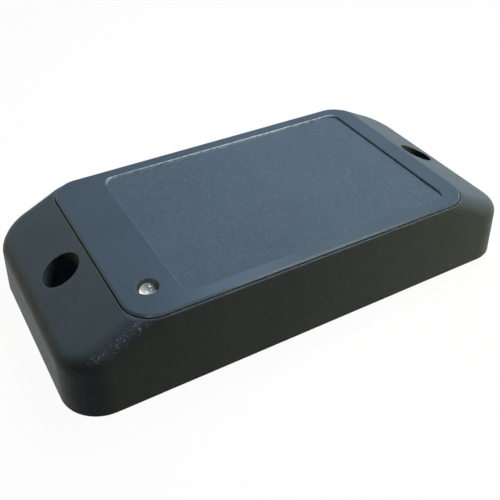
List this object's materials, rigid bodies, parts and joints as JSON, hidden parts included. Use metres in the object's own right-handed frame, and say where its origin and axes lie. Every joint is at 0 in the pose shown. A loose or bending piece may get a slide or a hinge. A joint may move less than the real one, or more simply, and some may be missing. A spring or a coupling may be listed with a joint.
{
  "type": "access control card reader",
  "caption": "Wall-mounted access control card reader: drafted housing with sloped ends, face cover with label recess, indicator lamp and a cable inlet in the back.",
  "frame": {"origin": "middle of the wall side, at the bottom centre of the reader's box", "axes": "+X along the reader's length, away from the lamp; +Z out of the face cover, away from the wall"},
  "size_m": [0.0984, 0.0474, 0.0178],
  "materials": {
    "housing_plastic": "fine moulded grain, dark slate grey",
    "cover_plastic": "satin, slate grey, finely grained label recess",
    "plate_plastic": "fine moulded grain, black",
    "foam": "soft closed-cell foam",
    "grommet_rubber": "smooth black rubber",
    "screw_steel": "zinc plated",
    "board": "green solder resist",
    "copper": "enamelled copper wire",
    "lens": "clear epoxy",
    "tinned": "tin plated",
    "holder_plastic": "natural nylon",
    "black_epoxy": "moulded epoxy",
    "sounder_plastic": "black",
    "can_metal": "drawn can",
    "film": "dipped film",
    "ferrite": "ferrite",
    "chip_ceramic": "fired ceramic",
    "header_plastic": "natural nylon",
    "pin_metal": "plated brass"
  },
  "bodies": {
    "root": {"housing": "housing_plastic", "face_cover": "cover_plastic", "back_plate": "plate_plastic", "back_seal": "foam", "cable_grommet": "grommet_rubber", "back_screws": "screw_steel", "board_screws": "screw_steel", "circuit_board": "board", "antenna_coil": "copper", "coil_leads": "copper", "indicator_lamp": "lens", "lamp_leads": "tinned", "lamp_holder": "holder_plastic", "buzzer": "sounder_plastic", "buzzer_pins": "tinned", "controller_chip": "black_epoxy", "controller_legs": "tinned", "reader_chip": "black_epoxy", "reader_chip_legs": "tinned", "crystal": "can_metal", "filter_capacitor": "can_metal", "tuning_capacitors": "film", "chip_resistors": "chip_ceramic", "chip_capacitors": "chip_ceramic", "voltage_regulator": "black_epoxy", "choke": "ferrite", "input_diode": "black_epoxy", "transistors": "black_epoxy", "cable_header": "header_plastic", "header_pins": "pin_metal"}
  },
  "joints": []
}
